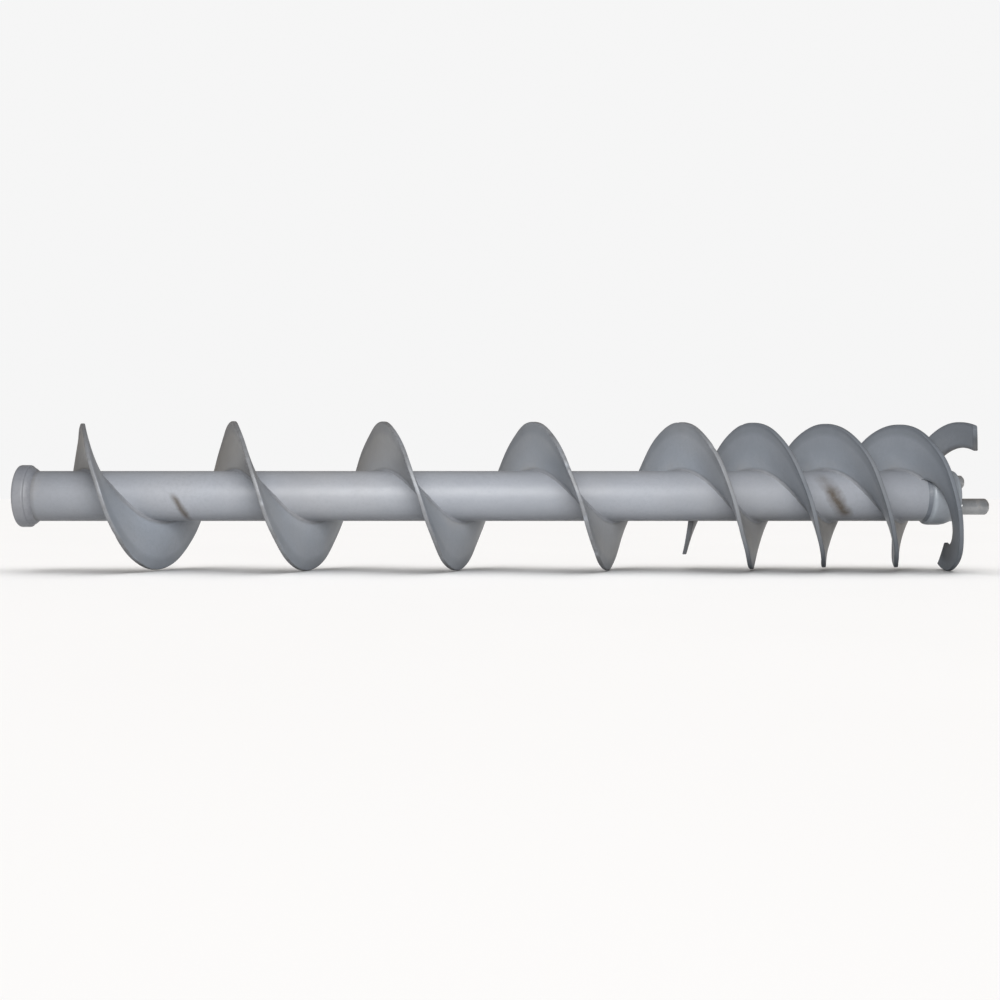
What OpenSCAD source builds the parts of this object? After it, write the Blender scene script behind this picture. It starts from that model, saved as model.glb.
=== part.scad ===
// Mixing and dosing auger shaft of a continuous mortar mixer.
// A tube carries a welded screw flight. A second start joins it for the last two turns, and both
// starts leave the shaft as free ribbons around a two-pin driver hub.
// The origin is on the shaft's axis at the drive face. The shaft runs along +X, and +Z is up.

/* [Shaft] */
// Outside diameter of the shaft tube
shaft_d = 50; // [44:1:54]
// Wall of the shaft tube
tube_wall = 5; // [3:0.5:6]
// Length of the tube, from the drive face to the driver hub's ring
tube_len = 902; // [899:1:902]

/* [Drive end] */
// Outside diameter of the drive collar
collar_d = 62; // [58:0.5:66]
// Width of the drive collar
collar_w = 12; // [10:1:16]
// Diameter of the keyed bore for the gear motor's shaft
bore_d = 30; // [24:1:32]
// Depth of the keyed bore
bore_depth = 60; // [40:1:80]
// Width of the keyway
keyway_w = 8; // [6:1:8]
// Depth of the keyway beyond the bore
keyway_h = 3.3; // [2:0.1:3.3]

/* [Flights] */
// Thickness of the flight plate
plate = 4; // [3:0.5:5]
// Distance from the drive face to the first crest
first_crest_x = 61.5; // [55:0.5:65]
// Pitch of the single-start feed section
feed_pitch = 150; // [149:0.5:151]
// Pitch of the double-start mixing section
mix_pitch = 144; // [143:0.5:145]
// How far a flight's root stands ahead of its rim, towards the pins
root_lead = 4; // [0:0.5:8]
// Flight diameter in the feed section
feed_d = 149.5; // [145:0.5:156]
// Flight diameter in the mixing section
mix_d = 142.5; // [140:0.5:150]
// Diameter at the free ribbon ends
ribbon_d = 147.5; // [145:0.5:156]

/* [Ribbons] */
// Width of a ribbon at its free end
ribbon_w = 25; // [20:1:30]
// How far the main ribbon's tip is bent back towards the drive end, half a turn in
main_bend_back = 10; // [0:1:12]
// How far the second ribbon's tip is bent back
second_bend_back = 20; // [10:1:24]

/* [Driver hub] */
// Diameter of the hub's ring
ring_d = 57.6; // [54:0.2:62]
// Length of the hub beyond the tube
hub_len = 29; // [28:1:34]
// Circle that the driver pins stand on
pin_circle_d = 35; // [33:0.5:35]
// Diameter of the long driver pin
long_pin_d = 16; // [15:0.5:17]
// How far the long pin stands out
long_pin_len = 28.5; // [20:0.5:35]
// Diameter of the short driver pin
short_pin_d = 14; // [13:0.5:16]
// How far the short pin stands out
short_pin_len = 15.5; // [12:0.5:25]

/* [Hidden] */

$fn = 96;
shaft_r = shaft_d / 2;
tube_bore_r = shaft_r - tube_wall;

PAINT = [0.55, 0.57, 0.60];
PAINT_LIGHT = [0.66, 0.68, 0.71];
WELD = [0.50, 0.51, 0.53];
BARE_STEEL = [0.52, 0.51, 0.50];

// Turns are counted from the main flight's first crest. The second start is half a turn round.
MAIN_CREST = 90;
MAIN_START = -0.105;
MAIN_LEAVES_SHAFT = 5.633;
MAIN_END = 6.07;
MAIN_SWING = 1.8;
SECOND_CREST = 270;
SECOND_START = 4.07;
SECOND_LEAVES_SHAFT = 5.641;
SECOND_END = 6.045;
SECOND_SWING = 3;
FEED_TURNS = 3.5;
RIBBON_BENDS_FROM = 5.5;
RINGS_PER_TURN = 48;
// Turns at which the blanks of a flight meet, all of them on the +Y side
MAIN_SEAMS = [for (i = [0:4]) i + 0.75];
SECOND_SEAM = 5.2;
// Parts of a turn by which a plate's outer corner is cut ahead of its inner corner
SECOND_START_LAG = 9 / 360;
SECOND_END_LAG = 6 / 360;
MAIN_END_LAG = -4 / 360;
// Room between a flight's inner edge and the tube, which the root weld bridges
ROOT_GAP = 0.15;

ROOT_WELD_LEG = 3;
SEAM_WELD_H = 1.2;
SEAM_HALF_TURN = 2.4 / 360;
COLLAR_WELD_LEG = 5.5;
COLLAR_WELD_H = 4.5;
BUSH_WELD_LEG = 3;
BUSH_FLOOR = 6;
HUB_WELD_LEG = 3.5;
HUB_WELD_H = 2.4;
SPIGOT_LEN = 30;
PIN_SHANK_D = 12;
PIN_SHANK_LEN = 22;
PIN_CHAMFER = 2;
LONG_PIN_ANGLE = 217;
SHORT_PIN_ANGLE = 51;

// ---- the helix ----

function bend_back(turn, amount) = amount * pow(2 * max(0, turn - RIBBON_BENDS_FROM), 2);

// Distance along the shaft of a flight's rim, in the middle of its plate
function run_x(turn, crest) =
    first_crest_x
    + feed_pitch * min(turn, FEED_TURNS)
    + mix_pitch * max(0, turn - FEED_TURNS)
    - bend_back(turn, crest == MAIN_CREST ? main_bend_back : second_bend_back);

function main_rim_r(turn) = lookup(turn, [
    [0, feed_d / 2 - 2.3],
    [1, feed_d / 2],
    [4, feed_d / 2 - 1],
    [RIBBON_BENDS_FROM, mix_d / 2],
    [6, ribbon_d / 2]
]);

function second_rim_r(turn) = lookup(turn, [
    [4.5, mix_d / 2 + 2],
    [5, mix_d / 2],
    [RIBBON_BENDS_FROM, mix_d / 2],
    [6, ribbon_d / 2 + 1]
]);

function rim_r(turn, crest) = crest == MAIN_CREST ? main_rim_r(turn) : second_rim_r(turn);

// The inner edge leaves the shaft and swings out to the ribbon's full inner radius.
// A higher swing takes it out there sooner.
function ribbon_inner_r(turn, leaves, ends, swing) =
    let (way = (turn - leaves) / (ends - leaves))
    shaft_r + ROOT_GAP
    + (ribbon_d / 2 - ribbon_w - shaft_r) * (1 - pow(1 - way, swing));

// A plate of even thickness is deeper along the shaft where the helix is steeper
function axial_depth(offset, r, turn) =
    let (pitch = turn < FEED_TURNS ? feed_pitch : mix_pitch)
    offset * sqrt(1 + pow(pitch / (2 * PI * r), 2));

function lead_at(r) = root_lead * (feed_d / 2 - r) / (feed_d / 2 - shaft_r);

function on_helix(turn, crest, r, offset) = [
    run_x(turn, crest) + lead_at(r) + axial_depth(offset, r, turn),
    r * cos(crest + 360 * turn),
    r * sin(crest + 360 * turn)
];

// A section of a flight: inner and outer corner on the drive side, then on the pin side.
// lag moves the outer corners on along the helix.
function plate_section(turn, crest, r_in, r_out, low, high, lag) = [
    on_helix(turn, crest, r_in, low),
    on_helix(turn + lag, crest, r_out, low),
    on_helix(turn + lag, crest, r_out, high),
    on_helix(turn, crest, r_in, high)
];

// Turns at which sections are set between two ends
function stations(from, to) =
    let (count = max(2, ceil((to - from) * RINGS_PER_TURN)))
    [for (i = [0:count]) from + (to - from) * i / count];

// A lag at one end of a run that fades out over four times its own length
function fading_lag(distance, lag) =
    lag == 0 ? 0 : lag * max(0, 1 - distance / (4 * abs(lag)));

// ---- solids through a row of sections ----

module loft(sections) {
    n = len(sections[0]);
    last = len(sections) - 1;
    points = [for (section = sections) each section];
    start_cap = [for (i = [1:n - 2]) [0, i, i + 1]];
    end_cap = [for (i = [1:n - 2]) [last * n, last * n + i + 1, last * n + i]];
    sides = [
        for (k = [0:last - 1], i = [0:n - 1])
            let (a = k * n + i, b = k * n + (i + 1) % n)
            each [[a, a + n, b], [b, a + n, b + n]]
    ];
    polyhedron(points, concat(start_cap, end_cap, sides), convexity = 6);
}

// ---- flights ----

module flight(crest, from, to, start_lag = 0) {
    color(PAINT) loft([
        for (turn = stations(from, to))
            plate_section(turn, crest, shaft_r + ROOT_GAP, rim_r(turn, crest),
                          -plate / 2, plate / 2, fading_lag(turn - from, start_lag))
    ]);
}

module ribbon(crest, leaves, ends, swing, end_lag) {
    color(PAINT) loft([
        for (turn = stations(leaves, ends))
            plate_section(turn, crest, ribbon_inner_r(turn, leaves, ends, swing),
                          rim_r(turn, crest), -plate / 2, plate / 2,
                          fading_lag(ends - turn, end_lag))
    ]);
}

// ---- welds ----

// Fillet between a flight's face and the tube. side is 1 for the pin side, -1 for the drive side.
module root_fillet(crest, from, to, side) {
    face = side * plate / 2;
    color(WELD) loft([
        for (turn = stations(from, to))
            let (
                toe = on_helix(turn, crest, shaft_r, face),
                foot = toe + [side * ROOT_WELD_LEG, 0, 0],
                top = on_helix(turn, crest, shaft_r + ROOT_WELD_LEG, face)
            )
            side > 0 ? [toe, top, foot] : [toe, foot, top]
    ]);
}

module root_welds(crest, from, to) {
    for (side = [-1, 1]) {
        root_fillet(crest, from, to, side);
    }
}

// A bead on both faces of the plate, across the joint between two flight blanks
module seam_weld(crest, turn) {
    r_in = shaft_r + ROOT_WELD_LEG + 1;
    r_out = rim_r(turn, crest) - 1;
    for (side = [-1, 1]) {
        low = side > 0 ? plate / 2 : -plate / 2 - SEAM_WELD_H;
        color(WELD) loft([
            for (at = [turn - SEAM_HALF_TURN, turn + SEAM_HALF_TURN])
                plate_section(at, crest, r_in, r_out, low, low + SEAM_WELD_H, 0)
        ]);
    }
}

module seam_welds() {
    for (turn = MAIN_SEAMS) {
        seam_weld(MAIN_CREST, turn);
    }
    seam_weld(SECOND_CREST, SECOND_SEAM);
}

// ---- turned parts ----

module along_x(x) {
    translate([x, 0, 0]) rotate([0, 90, 0]) children();
}

// Turns an outline of [radius, distance along the shaft] points
module turned(outline) {
    along_x(0) rotate_extrude() polygon(outline);
}

module shaft_tube() {
    color(PAINT_LIGHT) difference() {
        along_x(0) cylinder(h = tube_len, r = shaft_r);
        along_x(-1) cylinder(h = tube_len + 2, r = tube_bore_r);
    }
}

module drive_collar() {
    collar_r = collar_d / 2;
    worn_edge = 2;
    color(PAINT_LIGHT) turned([
        [shaft_r, 0],
        [collar_r - worn_edge, 0],
        [collar_r - 0.3 * worn_edge, 0.3 * worn_edge],
        [collar_r, worn_edge],
        [collar_r, collar_w - 1],
        [collar_r - 1, collar_w],
        [shaft_r, collar_w]
    ]);
}

module collar_weld() {
    color(WELD) turned([
        [shaft_r, collar_w],
        [shaft_r + COLLAR_WELD_H, collar_w],
        [shaft_r + COLLAR_WELD_H * 0.55, collar_w + COLLAR_WELD_LEG * 0.4],
        [shaft_r, collar_w + COLLAR_WELD_LEG]
    ]);
}

// Blind bush with a keyed bore. Its mouth is bevelled outside for the weld.
module drive_bush() {
    color(BARE_STEEL) difference() {
        turned([
            [0, 0],
            [tube_bore_r - BUSH_WELD_LEG, 0],
            [tube_bore_r, BUSH_WELD_LEG],
            [tube_bore_r, bore_depth + BUSH_FLOOR],
            [0, bore_depth + BUSH_FLOOR]
        ]);
        along_x(-1) cylinder(h = bore_depth + 1, d = bore_d);
        translate([-1, -keyway_w / 2, 0])
            cube([bore_depth + 1, keyway_w, bore_d / 2 + keyway_h]);
    }
}

module bush_weld() {
    color(WELD) turned([
        [tube_bore_r - BUSH_WELD_LEG, 0],
        [tube_bore_r, 0],
        [tube_bore_r, BUSH_WELD_LEG]
    ]);
}

// Stands a child on the hub's end face, on the pins' circle
module at_pin(angle) {
    translate([
        tube_len + hub_len,
        pin_circle_d / 2 * cos(angle),
        pin_circle_d / 2 * sin(angle)
    ]) rotate([0, 90, 0]) children();
}

// Spigot inside the tube, a ring wider than the tube, then a nose of the tube's size
module driver_hub() {
    ring_r = ring_d / 2;
    nose_r = shaft_r + 0.3;
    end_x = tube_len + hub_len;
    color(PAINT_LIGHT) difference() {
        turned([
            [0, tube_len - SPIGOT_LEN],
            [tube_bore_r, tube_len - SPIGOT_LEN],
            [tube_bore_r, tube_len],
            [ring_r - 1.4, tube_len],
            [ring_r, tube_len + 2],
            [ring_r, end_x - 14],
            [ring_r - 0.9, end_x - 9.5],
            [ring_r - 2.3, end_x - 6],
            [nose_r, end_x - 3.5],
            [nose_r, end_x - 0.8],
            [nose_r - 0.8, end_x],
            [0, end_x]
        ]);
        for (angle = [LONG_PIN_ANGLE, SHORT_PIN_ANGLE]) {
            at_pin(angle) translate([0, 0, -PIN_SHANK_LEN])
                cylinder(h = PIN_SHANK_LEN + 1, d = PIN_SHANK_D);
        }
    }
}

module hub_weld() {
    color(WELD) turned([
        [shaft_r, tube_len - HUB_WELD_LEG],
        [shaft_r, tube_len],
        [shaft_r + HUB_WELD_H, tube_len]
    ]);
}

// Shouldered pin: the shank sits in the hub, and the chamfered head stands out
module driver_pin(angle, d, length) {
    color(BARE_STEEL) at_pin(angle) {
        translate([0, 0, -PIN_SHANK_LEN]) cylinder(h = PIN_SHANK_LEN, d = PIN_SHANK_D);
        cylinder(h = length - PIN_CHAMFER, d = d);
        translate([0, 0, length - PIN_CHAMFER])
            cylinder(h = PIN_CHAMFER, d1 = d, d2 = d - 2 * PIN_CHAMFER);
    }
}

shaft_tube();
drive_collar();
collar_weld();
drive_bush();
bush_weld();
flight(MAIN_CREST, MAIN_START, MAIN_SEAMS[0]);  // main_flight_1
flight(MAIN_CREST, MAIN_SEAMS[0], MAIN_SEAMS[1]);  // main_flight_2
flight(MAIN_CREST, MAIN_SEAMS[1], MAIN_SEAMS[2]);  // main_flight_3
flight(MAIN_CREST, MAIN_SEAMS[2], MAIN_SEAMS[3]);  // main_flight_4
flight(MAIN_CREST, MAIN_SEAMS[3], MAIN_SEAMS[4]);  // main_flight_5
flight(MAIN_CREST, MAIN_SEAMS[4], MAIN_LEAVES_SHAFT);  // main_flight_6
ribbon(MAIN_CREST, MAIN_LEAVES_SHAFT, MAIN_END, MAIN_SWING, MAIN_END_LAG);  // main_ribbon
flight(SECOND_CREST, SECOND_START, SECOND_SEAM, SECOND_START_LAG);  // second_flight_1
flight(SECOND_CREST, SECOND_SEAM, SECOND_LEAVES_SHAFT);  // second_flight_2
ribbon(SECOND_CREST, SECOND_LEAVES_SHAFT, SECOND_END, SECOND_SWING, SECOND_END_LAG);  // second_ribbon
root_welds(MAIN_CREST, MAIN_START, MAIN_LEAVES_SHAFT);  // main_root_weld
root_welds(SECOND_CREST, SECOND_START, SECOND_LEAVES_SHAFT);  // second_root_weld
seam_welds();
driver_hub();
hub_weld();
driver_pin(LONG_PIN_ANGLE, long_pin_d, long_pin_len);  // long_driver_pin
driver_pin(SHORT_PIN_ANGLE, short_pin_d, short_pin_len);  // short_driver_pin
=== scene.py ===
"""Looks of the mortar mixer's auger shaft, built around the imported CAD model.

Flights, ribbons and welds are drawn finely along the corner lines of their CAD nodes. The turned
parts are drawn from the sizes of theirs. Metres, with the shaft along +X and +Z up.
"""

import math

import bmesh
import bpy
import numpy as np
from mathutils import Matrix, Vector


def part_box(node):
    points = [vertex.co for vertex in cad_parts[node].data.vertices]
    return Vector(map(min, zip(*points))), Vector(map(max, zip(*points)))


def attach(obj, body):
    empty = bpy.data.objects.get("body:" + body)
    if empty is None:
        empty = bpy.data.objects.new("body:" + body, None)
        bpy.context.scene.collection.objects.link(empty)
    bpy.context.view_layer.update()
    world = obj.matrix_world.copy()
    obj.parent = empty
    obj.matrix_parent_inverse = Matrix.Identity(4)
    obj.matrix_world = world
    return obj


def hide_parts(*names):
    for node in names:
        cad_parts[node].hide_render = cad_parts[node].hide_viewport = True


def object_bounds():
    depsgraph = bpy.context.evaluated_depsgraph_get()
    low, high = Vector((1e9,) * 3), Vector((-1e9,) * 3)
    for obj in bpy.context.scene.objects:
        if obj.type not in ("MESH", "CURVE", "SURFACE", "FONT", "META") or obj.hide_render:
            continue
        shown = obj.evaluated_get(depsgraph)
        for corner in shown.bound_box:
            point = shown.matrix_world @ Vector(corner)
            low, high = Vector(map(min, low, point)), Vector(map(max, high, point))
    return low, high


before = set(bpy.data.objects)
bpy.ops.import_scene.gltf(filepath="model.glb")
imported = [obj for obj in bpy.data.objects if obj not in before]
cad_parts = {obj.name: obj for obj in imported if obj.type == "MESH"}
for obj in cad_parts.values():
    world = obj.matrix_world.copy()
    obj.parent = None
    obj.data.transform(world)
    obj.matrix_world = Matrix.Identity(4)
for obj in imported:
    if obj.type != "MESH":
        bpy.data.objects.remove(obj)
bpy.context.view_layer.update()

MM = 0.001
FULL = 2 * math.pi
BODY = "root"

# ---- sizes read from the CAD parts in model.glb ----


def centre_of(node):
    low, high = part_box(node)
    return (low + high) / 2


SHAFT_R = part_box("shaft_tube")[1].z
TUBE_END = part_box("shaft_tube")[1].x
BUSH_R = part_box("drive_bush")[1].y
COLLAR_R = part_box("drive_collar")[1].z
COLLAR_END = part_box("drive_collar")[1].x
COLLAR_WELD_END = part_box("collar_weld")[1].x
COLLAR_WELD_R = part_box("collar_weld")[1].z
BUSH_WELD_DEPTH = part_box("bush_weld")[1].x
RING_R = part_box("driver_hub")[1].z
SPIGOT_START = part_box("driver_hub")[0].x
HUB_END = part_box("driver_hub")[1].x
HUB_WELD_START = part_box("hub_weld")[0].x
HUB_WELD_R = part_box("hub_weld")[1].z
ROOT_WELD_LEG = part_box("main_root_weld")[1].z - SHAFT_R
PITCH = centre_of("main_flight_3").x - centre_of("main_flight_2").x

# Each start's flights in order, and how far it is ahead of the shaft's own count of turns
MAIN = [f"main_flight_{i}" for i in range(1, 7)]
SECOND = ["second_flight_1", "second_flight_2"]
START_PHASE = {"main": 0.0, "second": 0.5}

# ---- plain mesh helpers ----

SHARP_ANGLE = math.radians(38)   # edges sharper than this aren't shaded smooth


def strip_faces(rows, columns, closed_rows=False, closed_columns=False):
    """Quads between neighbouring points of a grid that is numbered row by row."""
    row = np.arange(rows if closed_rows else rows - 1)
    column = np.arange(columns if closed_columns else columns - 1)
    a, b = np.meshgrid(row, column, indexing="ij")
    next_row = (a + 1) % rows
    next_column = (b + 1) % columns
    corners = (a * columns + b, a * columns + next_column,
               next_row * columns + next_column, next_row * columns + b)
    return np.stack([c.ravel() for c in corners], axis=1).tolist()


def make_piece(name, points, faces, material, replaced, marks=None):
    """A smooth-shaded piece on the root body. marks are named values for each point."""
    mesh = bpy.data.meshes.new(name)
    mesh.from_pydata([tuple(p) for p in points], [], faces)
    for mark, values in (marks or {}).items():
        layer = mesh.attributes.new(mark, "FLOAT", "POINT")
        layer.data.foreach_set("value", np.asarray(values, np.float32).ravel())
    shape = bmesh.new()
    shape.from_mesh(mesh)
    bmesh.ops.recalc_face_normals(shape, faces=shape.faces)
    shape.to_mesh(mesh)
    shape.free()
    mesh.shade_smooth()
    mesh.set_sharp_from_angle(angle=SHARP_ANGLE)
    mesh.materials.append(material)
    piece = bpy.data.objects.new(name, mesh)
    bpy.context.scene.collection.objects.link(piece)
    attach(piece, BODY)
    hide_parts(*replaced)
    return piece


def round_shaft(x, radius, turn):
    """Points from places along the shaft, distances from its axis and turns about it."""
    return np.stack([x, radius * np.cos(FULL * turn), radius * np.sin(FULL * turn)], axis=-1)


def waves(at, frequencies, seed):
    """A smooth random curve of unit size: a sum of sines with seeded phases."""
    phases = np.random.default_rng(seed).uniform(0, FULL, len(frequencies))
    total = sum(np.sin(FULL * f * at + p) for f, p in zip(frequencies, phases))
    return total / math.sqrt(len(frequencies))


# ---- flights and ribbons ----

SAME_RING = 0.002       # turns within which corner points belong to one ring
FINE = 6                # drawn rings for each ring of the CAD node
EDGE_R = 0.9 * MM       # the plate's worn, rounded edges
END_R = 0.8 * MM
RIM_REACH = 5 * MM      # depth over which the wear of a rim fades out
BAND_END = 8 * MM       # depth of the band of painted shade along a rim
BAND_REACH = 5 * MM     # depth over which that band fades out
ROOT_REACH = 16 * MM    # height over which the dust at a root fades out; its painted shade keeps to the lowest part
REFLECTION_REACH = 0.6        # length over which the painted warm reflection fades out, from either end
RIM_SHADE_FROM = 0.6         # place along the shaft from which the rims carry painted shade and are duller
RIM_SHADE_REACH = 0.17       # length over which they turn so
RIM_SWAY = 0.45 * MM    # waviness of a rim along the shaft
NICKS = 24              # small knocks in the rims of each start
NICK_TURNS = (0.1, 7)   # turns between which they lie
NICK_REACH = 0.006      # reach of each along the rim, in turns
END_STEPS = (0, 0.012, 0.035, 0.07)   # ring positions that round a free end
FACE_SHARES = (0.06, 0.14, 0.24, 0.36, 0.48, 0.6, 0.72, 0.82, 0.9, 0.95)


def edge_line(points, phase):
    """Turn, radius and both faces' places along the shaft, for each ring of a flight's edge."""
    x, y, z = points.T
    radius = np.hypot(y, z)
    angle = np.arctan2(z, y) / FULL
    turn = angle + np.round(x / PITCH + phase - angle)
    order = np.argsort(turn)
    rings = np.split(order, np.flatnonzero(np.diff(turn[order]) > SAME_RING) + 1)
    return np.array([(turn[r].mean(), radius[r].mean(), x[r].min(), x[r].max()) for r in rings]).T


def plate_edges(node, phase):
    """The inner and the outer edge of a CAD flight or ribbon."""
    points = np.array([v.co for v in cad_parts[node].data.vertices], float)
    radius = np.hypot(points[:, 1], points[:, 2])
    outside = radius > 0.8 * radius.max()
    return edge_line(points[~outside], phase), edge_line(points[outside], phase)


def resample(line, stations):
    rings = np.arange(line.shape[1])
    return np.array([np.interp(stations, rings, row) for row in line])


def plate_stations(rings, free_start, free_end):
    """Ring positions along a plate, closer together where a free end is rounded."""
    last = rings - 1
    inside = np.linspace(0, last, last * FINE + 1)[1:-1]
    start = END_STEPS if free_start else (0,)
    end = END_STEPS if free_end else (0,)
    return np.concatenate([start, inside, [last - step for step in reversed(end)]])


def plate_corner(share, face, to_edge):
    """Points round one corner of the section: share of the way out, outward shift, face, depth."""
    outward = 1 if share == 1 else -1
    steps = [math.radians(a) for a in (0, 30, 60, 90)]
    points = [(share, -outward * EDGE_R * (1 - math.sin(a)), face, EDGE_R * (1 - math.cos(a)))
              for a in steps]
    return points if to_edge else points[::-1]


def plate_section():
    """The section's points, from the inner edge out along the drive side and back on the pin side."""
    out = [(share, 0, 0, 0) for share in FACE_SHARES]
    back = [(share, 0, 1, 0) for share in reversed(FACE_SHARES)]
    return np.array(plate_corner(0, 0, False) + out + plate_corner(1, 0, True)
                    + plate_corner(1, 1, False) + back + plate_corner(0, 1, True))


def rim_nicks(turn, seed):
    """Depth of the small knocks in a rim, a few for each turn."""
    places = np.random.default_rng(seed).uniform(*NICK_TURNS, NICKS)
    depths = np.random.default_rng(seed + 1).uniform(0.2, 0.9, NICKS) * MM
    return sum(d * np.exp(-((turn - p) / NICK_REACH) ** 2) for p, d in zip(places, depths))


def plate_points(inner, outer, section, inset, seed):
    """Drawn points of a plate, and the marks that its paint reads."""
    share, out_shift, face, depth = (column[:, None] for column in section.T)
    turn = inner[0] + share * (outer[0] - inner[0])
    width = outer[1] - inner[1]
    radius = inner[1] + share * width + out_shift + (1 - 2 * share) * inset
    radius = radius - share ** 6 * rim_nicks(turn, seed)
    low = inner[2] + share * (outer[2] - inner[2])
    high = inner[3] + share * (outer[3] - inner[3])
    x = low + face * (high - low) + (1 - 2 * face) * (depth + inset)
    x = x + RIM_SWAY * share ** 2 * waves(turn, (1.7, 3.1, 5.3, 8.9), seed)
    points = round_shaft(x, radius, turn)
    from_rim = outer[1] - radius
    from_root = radius - inner[1]
    marks = {
        "rim": np.clip(1 - from_rim / RIM_REACH, 0, 1),
        # painted shade in a band along the rim
        "band": np.clip(1 - (from_rim - BAND_END) / BAND_REACH, 0, 1),
        "root": np.clip(1 - from_root / ROOT_REACH, 0, 1),
        # painted warm reflection: drive-side faces toward the drive end, pin-side faces toward the hub
        "warm_reflection": (1 - face) * np.clip(1 - x / REFLECTION_REACH, 0, 1)
        + face * np.clip(1 - (HUB_END - x) / REFLECTION_REACH, 0, 1),
    }
    return points, marks


def end_faces(columns, first, flip):
    """Closes a plate's end with quads from its drive-side points to its pin-side ones."""
    half = columns // 2
    faces = [[first + i, first + i + 1, first + columns - 2 - i, first + columns - 1 - i]
             for i in range(half - 1)]
    return [face[::-1] for face in faces] if flip else faces


def plate_piece(name, node, start, material, free_start=False, free_end=False, tip_wear=0.0):
    """A flight or ribbon. Its last argument is how much painted shade darkens its paint toward its far
    end, 0 to 1.
    """
    inner, outer = plate_edges(node, START_PHASE[start])
    stations = plate_stations(inner.shape[1], free_start, free_end)
    last = inner.shape[1] - 1
    from_end = np.minimum(stations if free_start else stations + 1,
                          last - stations if free_end else last - stations + 1)
    curve = np.clip(1 - from_end / END_STEPS[-1], 0, 1)
    inset = END_R * (1 - np.sqrt(1 - curve ** 2))
    seed = 11 if start == "main" else 23
    section = plate_section()
    points, marks = plate_points(resample(inner, stations), resample(outer, stations),
                                 section, inset, seed)
    free = np.clip(1 - from_end / 0.5, 0, 1)
    marks["rim"] = np.maximum(marks["rim"], free)
    # painted shade: the paint darkens toward a ribbon's far end and on the rims toward the hub
    shaded_rims = marks["rim"] * np.clip((points[..., 0] - RIM_SHADE_FROM) / RIM_SHADE_REACH, 0, 0.95)
    marks["tip"] = np.maximum(tip_wear * np.clip(stations / last, 0, 1) ** 1.3, shaded_rims)
    points = points.transpose(1, 0, 2).reshape(-1, 3)
    marks = {key: value.T.reshape(-1) for key, value in marks.items()}
    rows, columns = len(stations), len(section)
    faces = strip_faces(rows, columns, closed_columns=True)
    faces += end_faces(columns, 0, False)
    faces += end_faces(columns, (rows - 1) * columns, True)
    return make_piece(name, points, faces, material, [node], marks)


# ---- weld beads along the flights ----

RIPPLE_PITCH = 2.8 * MM
RIPPLE_H = 0.13 * MM
BEAD_STEPS = 7
BEAD_RING = 0.5 * MM    # distance between a bead's drawn rings


def ripples(distance, share):
    """Height of the crescent ripples that a weld pool leaves, across share 0 to 1 of the bead."""
    crescent = 4 * share * (1 - share)
    phase = distance / RIPPLE_PITCH - 0.45 * crescent
    return RIPPLE_H * (np.abs(np.sin(math.pi * phase)) - 0.6) * np.sqrt(crescent)


def root_bead(inner, side):
    """One fillet bead along a start's inner edge. side is -1 on the drive side, 1 on the pin side."""
    turn, _, low, high = inner
    per_turn = math.hypot(PITCH, FULL * SHAFT_R)
    count = int((turn[-1] - turn[0]) * per_turn / BEAD_RING)
    at = np.linspace(turn[0], turn[-1], count)
    face = np.interp(at, turn, high if side > 0 else low)
    distance = at * per_turn
    uneven = waves(at, (4.3, 9.1, 17.0, 29.0), 41 + side)
    leg = ROOT_WELD_LEG * (0.84 + 0.07 * uneven)
    share = np.linspace(0, 1, BEAD_STEPS)[:, None]
    hollow = -0.25 * MM * 4 * share * (1 - share)
    crown = hollow + ripples(distance, share)
    slope = math.sqrt(0.5)
    x = face + side * ((1 - share) * leg + crown * slope)
    radius = SHAFT_R + share * leg + crown * slope
    buried_x = (face - side * 0.4 * MM)[None, :]
    buried_r = np.full((1, count), SHAFT_R - 0.6 * MM)
    foot_r = np.full((1, count), SHAFT_R - 0.3 * MM)
    x = np.vstack([buried_x, x[:1], x, buried_x])
    radius = np.vstack([buried_r, foot_r, radius, radius[-1:]])
    return round_shaft(x, radius, at).transpose(1, 0, 2)


def join_runs(runs):
    """One set of points and faces from several closed tubes of points."""
    points, faces = [], []
    for run in runs:
        first = sum(len(p) for p in points)
        rows, columns = run.shape[:2]
        sides = np.array(strip_faces(rows, columns, closed_columns=True)) + first
        faces += sides.tolist()
        faces.append([first + i for i in range(columns)])
        faces.append([first + (rows - 1) * columns + i for i in reversed(range(columns))])
        points.append(run.reshape(-1, 3))
    return np.vstack(points), faces


def inner_line(nodes, start):
    """The inner edge of a start's flights, one after the other."""
    lines = [plate_edges(node, START_PHASE[start])[0] for node in nodes]
    return np.hstack([lines[0]] + [line[:, 1:] for line in lines[1:]])


def root_welds(name, nodes, start, material):
    inner = inner_line(nodes, start)
    points, faces = join_runs([root_bead(inner, side) for side in (-1, 1)])
    return make_piece(name + "_bead", points, faces, material, [name])


SEAM_W = 5 * MM
SEAM_H = 0.6 * MM


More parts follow.
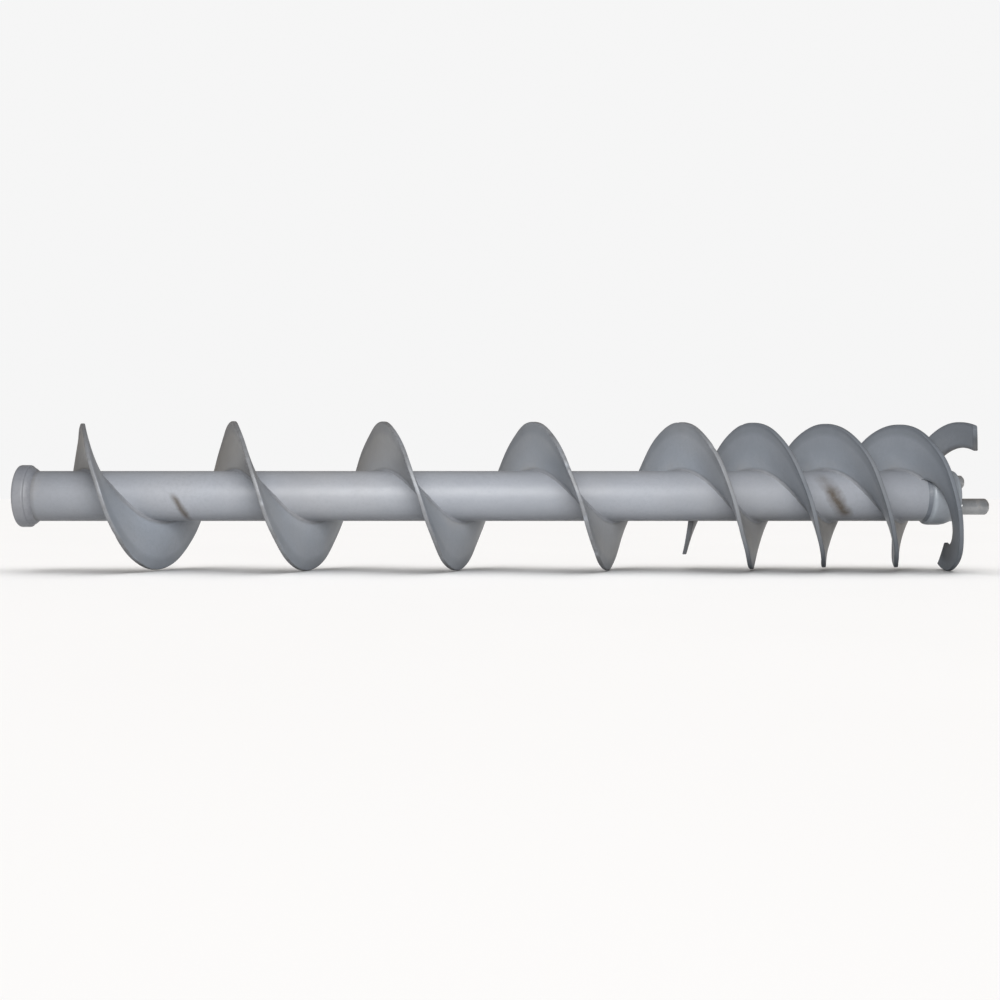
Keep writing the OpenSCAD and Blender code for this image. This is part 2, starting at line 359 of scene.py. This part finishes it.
def seam_bead(node, start, side):
    """A dressed bead across the plate where node ends and the next blank begins."""
    inner, outer = plate_edges(node, START_PHASE[start])
    row = 3 if side > 0 else 2
    pitch = (inner[row, -1] - inner[row, -2]) / (inner[0, -1] - inner[0, -2])
    count = int((outer[1, -1] - inner[1, -1]) / BEAD_RING)
    radius = np.linspace(inner[1, -1] + 0.6 * ROOT_WELD_LEG, outer[1, -1] - 0.6 * MM, count)
    way = (radius - inner[1, -1]) / (outer[1, -1] - inner[1, -1])
    face = inner[row, -1] + way * (outer[row, -1] - inner[row, -1])
    share = np.linspace(0, 1, BEAD_STEPS)[:, None]
    per_turn = np.hypot(pitch, FULL * radius)
    turn = inner[0, -1] + (share - 0.5) * SEAM_W / per_turn
    steep = per_turn / (FULL * radius)
    taper = np.clip(4 * np.minimum(way, 1 - way) + 0.4, 0, 1)
    height = SEAM_H * taper * 4 * share * (1 - share) + ripples(radius + 0 * share, share)
    height[[0, -1]] = -0.2 * MM
    x = face + pitch * (turn - inner[0, -1]) + side * height * steep
    return round_shaft(x, radius, turn).transpose(1, 0, 2)


def seam_welds(material):
    joints = [(node, "main") for node in MAIN[:-1]] + [(SECOND[0], "second")]
    runs = [seam_bead(node, start, side) for node, start in joints for side in (-1, 1)]
    points, faces = join_runs(runs)
    return make_piece("seam_beads", points, faces, material, ["seam_welds"])


# ---- turned parts ----

DRIVE_END_SHADE = 0.1          # length at the drive end over which the tube's paint carries painted shade and is duller
WELD_DUST_AND_SHADE_REACH = 14 * MM   # length over which dust and painted shade gather beside the tube's welds
WELD_SEGMENTS = 420     # enough to draw the ripples of a bead round the shaft


def eased(outline, ease):
    """An outline of (x, r) points with each inner corner rounded to about ease."""
    rounded = [outline[0]]
    for before, corner, after in zip(outline, outline[1:], outline[2:]):
        b, c, a = Vector(before), Vector(corner), Vector(after)
        reach = min(ease, (b - c).length * 0.45, (a - c).length * 0.45)
        first = c + (b - c).normalized() * reach
        last = c + (a - c).normalized() * reach
        for i in range(5):
            t = i / 4
            bend = first.lerp(c, t).lerp(c.lerp(last, t), t)
            rounded.append((bend.x, bend.y))
    return rounded + [outline[-1]]


def divided(outline, longest):
    """The outline with extra points, so that no stretch of it is longer than longest."""
    points = [outline[0]]
    for a, b in zip(outline, outline[1:]):
        parts = max(1, math.ceil(math.dist(a, b) / longest))
        points += [(a[0] + (b[0] - a[0]) * i / parts, a[1] + (b[1] - a[1]) * i / parts)
                   for i in range(1, parts + 1)]
    return points


def turned_piece(name, outline, material, replaced,
                 closed=False, centre=(0, 0), segments=160, swell=None, marks=None):
    """Turns an outline about the shaft's axis, or about a line beside it through centre.
    An open outline starts and ends close to that line, and its ends are capped.
    swell(angle, share) gives what is added to x and to the radius."""
    line = np.array(outline)
    angle = np.arange(segments) / segments * FULL
    share = np.linspace(0, 1, len(line))[:, None]
    x = line[:, :1] + 0 * angle
    radius = line[:, 1:] + 0 * angle
    if swell:
        out = swell(angle, share)
        x, radius = x + out[0], radius + out[1]
    y = centre[0] + radius * np.cos(angle)
    z = centre[1] + radius * np.sin(angle)
    points = np.stack([x, y, z], axis=-1).reshape(-1, 3)
    faces = strip_faces(len(line), segments, closed_rows=closed, closed_columns=True)
    if not closed:
        last = (len(line) - 1) * segments
        faces.append(list(range(segments)))
        faces.append([last + i for i in range(segments)])
    values = {key: rule(points) for key, rule in (marks or {}).items()}
    return make_piece(name, points, faces, material, replaced, values)


def near(x, place, reach):
    """1 at a place along the shaft, falling to 0 within reach of it."""
    return np.clip(1 - np.abs(x - place) / reach, 0, 1)


def tube_piece(material):
    """The tube's wall, whose closed outline starts and ends inside the bore."""
    outline = eased([
        (0.3, BUSH_R), (0, BUSH_R), (0, SHAFT_R),
        (TUBE_END, SHAFT_R), (TUBE_END, BUSH_R), (0.6, BUSH_R)
    ], 0.5 * MM)
    outline = divided(outline, 4 * MM)
    marks = {
        "rim": lambda p: 0.6 * near(p[:, 0], 0, 2 * MM),
        "root": lambda p: np.maximum(near(p[:, 0], COLLAR_WELD_END, WELD_DUST_AND_SHADE_REACH),
                                     near(p[:, 0], TUBE_END, WELD_DUST_AND_SHADE_REACH)),
        # painted shade, darker toward the drive end
        "tip": lambda p: 0.3 * near(p[:, 0], 0, DRIVE_END_SHADE),
    }
    return turned_piece("tube", outline, material, ["shaft_tube"], True, marks=marks)


def collar_piece(material):
    """A ring on the tube, with its drive-side edge worn round and small knocks all round."""
    worn = 2.4 * MM
    outline = eased([
        (0.4 * COLLAR_END, SHAFT_R), (0, SHAFT_R), (0, COLLAR_R - worn),
        (0.3 * worn, COLLAR_R - 0.3 * worn), (worn, COLLAR_R),
        (COLLAR_END - 1.2 * MM, COLLAR_R), (COLLAR_END, COLLAR_R - 1.2 * MM),
        (COLLAR_END, SHAFT_R), (0.6 * COLLAR_END, SHAFT_R)
    ], 1.1 * MM)
    marks = {
        "rim": lambda p: np.maximum(near(p[:, 0], 0, worn), 0.7 * near(p[:, 0], COLLAR_END, 1.5 * MM))
        * (np.hypot(p[:, 1], p[:, 2]) > COLLAR_R - 2 * worn),
    }

    def knocks(angle, share):
        dent = 0.12 * MM * waves(angle / FULL, (3, 5, 9, 14), 5)
        return 0 * angle, dent * np.sin(math.pi * share)

    return turned_piece("collar", divided(outline, 1.5 * MM), material, ["drive_collar"],
                        True, segments=192, swell=knocks, marks=marks)


def ring_weld(name, replaced, foot, top, crown, material, seed):
    """A rippled fillet round the shaft from foot to top, both (x, r)."""
    share = np.linspace(0, 1, 9)
    face = [(foot[0] + (top[0] - foot[0]) * s, foot[1] + (top[1] - foot[1]) * s) for s in share]
    corner = (top[0], foot[1]) if foot[1] < top[1] else (foot[0], top[1])
    inside = (corner[0], corner[1] - 0.4 * MM)
    outline = face + [inside]
    across = np.append(share, 0)[:, None]
    mid_r = (foot[1] + top[1]) / 2
    x_sign = 1 if foot[0] > top[0] else -1

    def rippled(angle, _):
        height = 4 * crown * across * (1 - across) + ripples(angle * mid_r, across)
        height = height + 0.18 * MM * waves(angle / FULL, (4, 7, 13), seed) * across * (1 - across) * 4
        return x_sign * 0.7 * height, 0.7 * height

    return turned_piece(name, outline, material, replaced, True,
                        segments=WELD_SEGMENTS, swell=rippled)


def hub_piece(material):
    """Spigot, then a ring with a rounded shoulder, then a nose with a centre dimple."""
    nose_r = SHAFT_R + 0.3 * MM
    dimple = 3.2 * MM
    nose_edge = 0.8 * MM
    nose_rim_r = 20 * MM    # clear of the dimple
    outline = eased([
        (SPIGOT_START, 0.4 * MM), (SPIGOT_START, BUSH_R), (TUBE_END, BUSH_R),
        (TUBE_END, RING_R - 2.6 * MM), (TUBE_END + 0.7 * MM, RING_R - 1.2 * MM),
        (TUBE_END + 2 * MM, RING_R - 0.3 * MM), (TUBE_END + 4 * MM, RING_R),
        (HUB_END - 14 * MM, RING_R), (HUB_END - 9.5 * MM, RING_R - 0.9 * MM),
        (HUB_END - 6 * MM, RING_R - 2.3 * MM), (HUB_END - 3.5 * MM, nose_r),
        (HUB_END - nose_edge, nose_r), (HUB_END, nose_r - nose_edge),
        (HUB_END, dimple), (HUB_END - dimple, 0.3 * MM)
    ], 0.8 * MM)
    marks = {
        "rim": lambda p: 0.8 * near(p[:, 0], HUB_END, 1.2 * MM)
        * (np.hypot(p[:, 1], p[:, 2]) > nose_rim_r),
        # painted highlight on the ring's rounded shoulder
        "shoulder_highlight": lambda p: near(p[:, 0], TUBE_END + 2.5 * MM, 2.5 * MM),
    }
    return turned_piece("hub", divided(outline, 2 * MM), material, ["driver_hub"],
                        segments=192, marks=marks)


def pin_piece(name, node, material):
    """A pin with a chamfered, centre-drilled head and a foot sunk into the hub's end face."""
    low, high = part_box(node)
    centre = ((low.y + high.y) / 2, (low.z + high.z) / 2)
    head_r = (high.z - low.z) / 2
    chamfer = 2 * MM
    centre_hole = 1.6 * MM
    foot = 1.5 * MM
    outline = eased([
        (HUB_END - foot, 0.3 * MM), (HUB_END - foot, head_r - 1 * MM),
        (HUB_END - 0.1 * MM, head_r - 0.6 * MM), (HUB_END + 0.9 * MM, head_r),
        (high.x - chamfer, head_r), (high.x - 0.2 * MM, head_r - chamfer),
        (high.x, head_r - chamfer - 0.8 * MM), (high.x, centre_hole),
        (high.x - centre_hole, 0.2 * MM)
    ], 0.9 * MM)
    marks = {"rim": lambda p: near(p[:, 0], high.x, 3 * MM)}
    return turned_piece(name, divided(outline, 1.5 * MM), material, [node],
                        centre=centre, segments=96, marks=marks)


# ---- materials ----


class Surface:
    """A Principled material and short calls that add and join its nodes."""

    def __init__(self, name, **constants):
        self.material = bpy.data.materials.new(name)
        self.material.use_nodes = True
        self.tree = self.material.node_tree
        self.shader = self.tree.nodes["Principled BSDF"]
        for socket, value in constants.items():
            self.shader.inputs[socket.replace("_", " ")].default_value = value
        self.place = self.add("ShaderNodeTexCoord").outputs["Object"]

    def add(self, kind, **settings):
        node = self.tree.nodes.new(kind)
        for key, value in settings.items():
            setattr(node, key, value)
        return node

    def feed(self, node, socket, value):
        if isinstance(value, bpy.types.NodeSocket):
            self.tree.links.new(value, node.inputs[socket])
        else:
            node.inputs[socket].default_value = value

    def stretched(self, x, y, z):
        node = self.add("ShaderNodeMapping")
        self.feed(node, "Vector", self.place)
        self.feed(node, "Scale", (x, y, z))
        return node.outputs["Vector"]

    def noise(self, scale, detail=3.0, rough=0.5, where=None):
        node = self.add("ShaderNodeTexNoise")
        self.feed(node, "Vector", where or self.place)
        self.feed(node, "Scale", scale)
        self.feed(node, "Detail", detail)
        self.feed(node, "Roughness", rough)
        return node.outputs["Fac"]

    def spread(self, value, low, high, to_low=0.0, to_high=1.0):
        node = self.add("ShaderNodeMapRange")
        self.feed(node, "Value", value)
        self.feed(node, "From Min", low)
        self.feed(node, "From Max", high)
        self.feed(node, "To Min", to_low)
        self.feed(node, "To Max", to_high)
        return node.outputs["Result"]

    def sum(self, a, b, operation="ADD"):
        node = self.add("ShaderNodeMath", operation=operation)
        self.feed(node, 0, a)
        self.feed(node, 1, b)
        return node.outputs["Value"]

    def mark(self, name):
        return self.add("ShaderNodeAttribute", attribute_name=name).outputs["Fac"]

    def streak(self, place, height, half, reach, slope):
        """1 on a slanting streak on the -Y side: its place along the shaft, height and half sizes."""
        parts = self.add("ShaderNodeSeparateXYZ")
        self.feed(parts, "Vector", self.place)
        x, y, z = parts.outputs
        rise = self.sum(z, -height)
        across = self.sum(self.sum(x, -place), self.sum(rise, slope, "MULTIPLY"))
        wander = self.spread(self.noise(90, 3, 0.6), 0.3, 0.7, -0.25 * half, 0.25 * half)
        across = self.sum(self.sum(across, wander), 0, "ABSOLUTE")
        core = self.spread(across, 0.2 * half, 1.4 * half, 1, 0)
        fade = self.spread(self.sum(rise, 0, "ABSOLUTE"), 0.55 * reach, reach, 1, 0)
        side = self.spread(y, -4 * MM, 0, 1, 0)
        return self.sum(self.sum(core, fade, "MULTIPLY"), side, "MULTIPLY")

    def mix(self, share, a, b):
        node = self.add("ShaderNodeMix", data_type="RGBA")
        self.feed(node, 0, share)
        self.feed(node, 6, a)
        self.feed(node, 7, b)
        return node.outputs[2]

    def bump(self, height, distance, strength=1.0, under=None):
        node = self.add("ShaderNodeBump")
        self.feed(node, "Height", height)
        self.feed(node, "Distance", distance)
        self.feed(node, "Strength", strength)
        if under is not None:
            self.feed(node, "Normal", under)
        return node.outputs["Normal"]

    def set(self, socket, value):
        self.feed(self.shader, socket, value)


def rgb(red, green, blue):
    return (red, green, blue, 1.0)


BARE = rgb(0.165, 0.17, 0.18)
WORN_BROWN = rgb(0.092, 0.092, 0.094)
RUST = rgb(0.105, 0.055, 0.030)
DUST = rgb(0.26, 0.235, 0.205)
# dark tone for the band of painted shade along the rims
RIM_BAND_SHADE = rgb(0.122, 0.136, 0.156)
# warm tint of a painted reflection on faces seen at a slant
WARM_REFLECTION = rgb(0.215, 0.202, 0.184)
# painted shade for the hollows at roots and beside welds
CORNER_SHADE = rgb(0.050, 0.046, 0.042)
# painted shade: ribbon ends, rims toward the hub and the tube's drive end
SHADE_DARK = rgb(0.034, 0.040, 0.047)
# painted highlight on the hub's shoulder
SHOULDER_HIGHLIGHT = rgb(0.42, 0.46, 0.50)
RUBBED = rgb(0.062, 0.050, 0.039)

# Brown rubs on the tube: place, height, half width, half length, slope and strength
RUBS = [
    (164 * MM, -11 * MM, 3.8 * MM, 15 * MM, 0.55, 0.85),
    (809.5 * MM, -6 * MM, 7.8 * MM, 18 * MM, 0.64, 0.97),
    (800 * MM, 11 * MM, 8 * MM, 12 * MM, 0.5, 0.4),
]


def painted(name, light, dark, dust=0.25, rubs=()):
    """Silver-grey paint over steel: cloudy colour, orange peel, fine scratches, worn edges, dust,
    and where its marks ask: painted shade, a painted warm reflection and a painted highlight.
    A mark that a piece doesn't carry counts as 0, so what it paints is left out there."""
    s = Surface(name, Specular_IOR_Level=0.4)
    clouds = s.noise(9, 4, 0.55)
    mottle = s.noise(70, 4, 0.6)
    grain = s.noise(300, 4, 0.65)
    colour = s.mix(s.spread(clouds, 0.3, 0.7), dark, light)
    colour = s.mix(s.spread(mottle, 0.42, 0.7, 0, 0.5), colour, light)
    colour = s.mix(s.spread(grain, 0.46, 0.64, 0, 0.55), colour, dark)
    gloss = s.spread(mottle, 0.3, 0.7, 0.42, 0.52)

    # painted warm reflection, where the mark asks for it
    warm_reflection = s.sum(s.mark("warm_reflection"), s.spread(clouds, 0.3, 0.6, 0.5, 1.0), "MULTIPLY")
    colour = s.mix(warm_reflection, colour, WARM_REFLECTION)
    # painted shade where the mark asks for it; the paint there is also duller
    tip = s.sum(s.mark("tip"), s.spread(clouds, 0.3, 0.7, 0.88, 1.0), "MULTIPLY")
    colour = s.mix(tip, colour, SHADE_DARK)
    # painted shade in a band along the rims, broken up by noise
    band_breakup = s.spread(s.noise(38, 4, 0.6), 0.3, 0.62, 0.6, 1.0)
    band = s.sum(s.mark("band"), band_breakup, "MULTIPLY")
    colour = s.mix(s.sum(band, 0.65, "MULTIPLY"), colour, RIM_BAND_SHADE)
    gloss = s.sum(gloss, s.sum(tip, 0.28, "MULTIPLY"))
    # painted highlight on the hub's shoulder where the mark asks for it; glossier paint there too
    shoulder_highlight = s.sum(s.mark("shoulder_highlight"), s.spread(mottle, 0.3, 0.6, 0.5, 1), "MULTIPLY")
    colour = s.mix(s.sum(shoulder_highlight, 0.2, "MULTIPLY"), colour, SHOULDER_HIGHLIGHT)
    gloss = s.sum(gloss, s.sum(shoulder_highlight, -0.12, "MULTIPLY"))

    dusty = s.sum(s.spread(s.noise(26, 5, 0.65), 0.45, 0.7), s.mark("root"), "MULTIPLY")
    dusting = s.spread(s.noise(5, 4, 0.6), 0.5, 0.75, 0, dust)
    colour = s.mix(s.sum(s.sum(dusty, 0.35, "MULTIPLY"), dusting, "MAXIMUM"), colour, DUST)
    # painted shade in the hollow at a root, over the lowest part of the root mark
    corner = s.spread(s.mark("root"), 0.72, 0.92, 0, 0.45)
    colour = s.mix(s.sum(corner, s.spread(mottle, 0.3, 0.6, 0.6, 1), "MULTIPLY"), colour, CORNER_SHADE)
    hairlines = s.noise(1, 2, 0.5, s.stretched(35, 900, 900))
    scratch = s.spread(hairlines, 0.7, 0.74)
    colour = s.mix(s.sum(scratch, 0.35, "MULTIPLY"), colour, light)

    edge = s.spread(s.sum(s.mark("rim"), s.spread(mottle, 0.3, 0.7, -0.12, 0.12)), 0.78, 0.95)
    edge = s.sum(edge, s.spread(tip, 0, 0.7, 1, 0.1), "MULTIPLY")
    worn = s.mix(s.spread(s.noise(55, 5, 0.7), 0.35, 0.65), WORN_BROWN, BARE)
    colour = s.mix(s.sum(edge, 0.8, "MULTIPLY"), colour, worn)
    for *shape, strength in rubs:
        broken = s.spread(s.noise(260, 4, 0.7), 0.3, 0.55, 0.8, 1.0)
        rub = s.sum(s.streak(*shape), broken, "MULTIPLY")
        colour = s.mix(s.sum(rub, strength, "MULTIPLY"), colour, RUBBED)
        gloss = s.sum(gloss, s.sum(rub, 0.2, "MULTIPLY"))

    s.set("Base Color", colour)
    s.set("Metallic", s.sum(edge, 0.1, "MULTIPLY"))
    s.set("Roughness", s.sum(gloss, s.sum(dusty, 0.12, "MULTIPLY")))
    peel = s.bump(s.noise(650, 2, 0.5), 0.03 * MM, 0.5)
    dents = s.bump(s.noise(34, 3, 0.5), 0.35 * MM, 0.5, peel)
    s.set("Normal", s.bump(edge, -0.05 * MM, 0.6, dents))
    return s.material


def bare_steel(name):
    """Turned steel that has been handled: fine rings from the lathe, dull patches, light rust."""
    s = Surface(name)
    stain = s.noise(60, 5, 0.65)
    colour = s.mix(s.spread(stain, 0.35, 0.7), rgb(0.235, 0.24, 0.245), rgb(0.35, 0.355, 0.36))
    rust = s.spread(s.noise(130, 5, 0.7), 0.56, 0.72)
    colour = s.mix(s.sum(rust, 0.55, "MULTIPLY"), colour, RUST)
    bright = s.sum(s.mark("rim"), s.spread(s.noise(220, 3), 0.35, 0.6), "MULTIPLY")
    colour = s.mix(s.sum(bright, 0.5, "MULTIPLY"), colour, rgb(0.55, 0.54, 0.52))
    s.set("Base Color", colour)
    s.set("Metallic", s.spread(rust, 0, 1, 0.75, 0.2))
    s.set("Roughness", s.sum(s.spread(stain, 0.3, 0.7, 0.3, 0.46), s.sum(rust, 0.25, "MULTIPLY")))
    lathe = s.noise(1, 1, 0.5, s.stretched(3500, 40, 40))
    marks = s.bump(lathe, 0.015 * MM, 0.6)
    s.set("Normal", s.bump(rust, 0.05 * MM, 0.7, marks))
    return s.material


# ---- the pieces ----

tube_paint = painted("tube_paint", rgb(0.227, 0.239, 0.262), rgb(0.195, 0.205, 0.225),
                     dust=0.18, rubs=RUBS)
collar_paint = painted("collar_paint", rgb(0.167, 0.175, 0.194), rgb(0.137, 0.144, 0.162))
hub_paint = painted("hub_paint", rgb(0.215, 0.233, 0.255), rgb(0.180, 0.196, 0.215))
flight_paint = painted("flight_paint", rgb(0.214, 0.234, 0.264), rgb(0.180, 0.198, 0.223))
weld_paint = painted("weld_paint", rgb(0.165, 0.173, 0.188), rgb(0.135, 0.142, 0.155), dust=0.15)
# a darker copy of the paint: painted shade in the hollow between tube and hub
hub_weld_shade_paint = painted("hub_weld_shade_paint", rgb(0.112, 0.124, 0.143), rgb(0.088, 0.099, 0.115))
steel = bare_steel("turned_steel")

tube_piece(tube_paint)
collar_piece(collar_paint)
ring_weld("collar_bead", ["collar_weld"], (COLLAR_WELD_END, SHAFT_R), (COLLAR_END, COLLAR_WELD_R),
          0.6 * MM, collar_paint, 31)
ring_weld("bush_bead", ["bush_weld"], (0, BUSH_R), (0, BUSH_R - BUSH_WELD_DEPTH), 0, weld_paint, 33)
for node in MAIN:
    plate_piece(node + "_plate", node, "main", flight_paint, free_start=node == MAIN[0])
plate_piece("main_ribbon_plate", "main_ribbon", "main", flight_paint, free_end=True, tip_wear=0.5)
for node in SECOND:
    plate_piece(node + "_plate", node, "second", flight_paint, free_start=node == SECOND[0])
plate_piece("second_ribbon_plate", "second_ribbon", "second", flight_paint, free_end=True, tip_wear=1.0)
root_welds("main_root_weld", MAIN, "main", weld_paint)
root_welds("second_root_weld", SECOND, "second", weld_paint)
seam_welds(weld_paint)
hub_piece(hub_paint)
ring_weld("hub_bead", ["hub_weld"], (HUB_WELD_START, SHAFT_R),
          (TUBE_END + 0.3 * MM, HUB_WELD_R - 1 * MM), -0.15 * MM, hub_weld_shade_paint, 37)
pin_piece("long_pin", "long_driver_pin", steel)
pin_piece("short_pin", "short_driver_pin", steel)
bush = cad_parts["drive_bush"]
bush.data.materials.clear()
bush.data.materials.append(steel)

# ---- stage, light and camera ----

FLOOR_R = 30            # so wide that its edge is a level horizon


def floor_piece(height, radius):
    shape = bmesh.new()
    bmesh.ops.create_circle(shape, cap_ends=True, radius=radius, segments=128)
    mesh = bpy.data.meshes.new("floor")
    shape.to_mesh(mesh)
    shape.free()
    floor = bpy.data.objects.new("floor", mesh)
    floor.location = (0.5, 0, height)
    bpy.context.scene.collection.objects.link(floor)
    s = Surface("pale_floor", Roughness=0.85)
    s.set("Base Color", s.mix(s.noise(3, 2), rgb(0.86, 0.86, 0.86), rgb(0.88, 0.88, 0.88)))
    mesh.materials.append(s.material)
    return floor


def keep_to(item, state, other):
    """Makes a lamp light only the other object (INCLUDE), or all but it (EXCLUDE)."""
    linked = bpy.data.collections.new(item.name + "_linked")
    linked.objects.link(other)
    linked.collection_objects[0].light_linking.link_state = state
    item.light_linking.receiver_collection = linked


def soft_box(name, place, target, width, height, power):
    """A white soft box, which the camera doesn't see."""
    lamp = bpy.data.lights.new(name, "AREA")
    lamp.shape = "RECTANGLE"
    lamp.size = width
    lamp.size_y = height
    lamp.energy = power
    item = bpy.data.objects.new(name, lamp)
    item.location = place
    item.rotation_euler = (Vector(target) - Vector(place)).to_track_quat("-Z", "Y").to_euler()
    item.visible_camera = False
    bpy.context.scene.collection.objects.link(item)
    return item


def overhead_lamp(name, strength):
    """Soft, even light from straight above."""
    lamp = bpy.data.lights.new(name, "SUN")
    lamp.angle = math.radians(80)
    lamp.energy = strength
    item = bpy.data.objects.new(name, lamp)
    bpy.context.scene.collection.objects.link(item)
    return item


def studio_world(front, back, backdrop):
    """Weak light from all round, cooler from the -Y side, in front of a pale backdrop."""
    world = bpy.data.worlds.new("studio_world")
    bpy.context.scene.world = world
    world.use_nodes = True
    tree = world.node_tree
    direction = tree.nodes.new("ShaderNodeTexCoord")
    parts = tree.nodes.new("ShaderNodeSeparateXYZ")
    tree.links.new(direction.outputs["Generated"], parts.inputs[0])
    share = tree.nodes.new("ShaderNodeMapRange")
    share.inputs["From Min"].default_value = -0.7
    share.inputs["From Max"].default_value = 0.7
    tree.links.new(parts.outputs["Y"], share.inputs["Value"])
    blend = tree.nodes.new("ShaderNodeMix")
    blend.data_type = "RGBA"
    tree.links.new(share.outputs["Result"], blend.inputs[0])
    blend.inputs[6].default_value = front
    blend.inputs[7].default_value = back
    lit = tree.nodes["Background"]
    tree.links.new(blend.outputs[2], lit.inputs["Color"])
    seen = tree.nodes.new("ShaderNodeBackground")
    seen.inputs["Color"].default_value = backdrop
    path = tree.nodes.new("ShaderNodeLightPath")
    either = tree.nodes.new("ShaderNodeMixShader")
    tree.links.new(path.outputs["Is Camera Ray"], either.inputs[0])
    tree.links.new(lit.outputs[0], either.inputs[1])
    tree.links.new(seen.outputs[0], either.inputs[2])
    tree.links.new(either.outputs[0], tree.nodes["World Output"].inputs["Surface"])


def photo_camera():
    """Level camera in front of the shaft. It stands left of the middle, so the view is shifted."""
    distance = 1.21
    sensor = 36
    data = bpy.data.cameras.new("camera")
    data.sensor_width = sensor
    data.lens = sensor * distance
    data.shift_x = 0.066
    data.shift_y = -0.004
    camera = bpy.data.objects.new("camera", data)
    camera.location = (0.4133, -distance, 0)
    camera.rotation_euler = (math.radians(90), 0, 0)
    bpy.context.scene.collection.objects.link(camera)
    bpy.context.scene.camera = camera


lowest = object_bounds()[0]
floor = floor_piece(lowest.z, FLOOR_R)
studio_world(rgb(0.25, 0.265, 0.285), rgb(0.30, 0.26, 0.22), rgb(0.92, 0.92, 0.92))
keep_to(overhead_lamp("floor_lamp", 2.7), "INCLUDE", floor)
keep_to(soft_box("left_box", (0.24, -1.0, 0.36), (0.26, 0, 0), 0.5, 0.6, 8.6), "EXCLUDE", floor)
keep_to(soft_box("middle_box", (0.56, -1.0, 0.36), (0.55, 0, 0), 0.5, 0.6, 10.5), "EXCLUDE", floor)
rear_box = soft_box("rear_box", (0.45, 1.1, 0.35), (0.45, 0, 0), 1.0, 0.5, 5)
rear_box.visible_glossy = False
keep_to(rear_box, "EXCLUDE", floor)
photo_camera()
bpy.context.scene.view_settings.view_transform = "Standard"
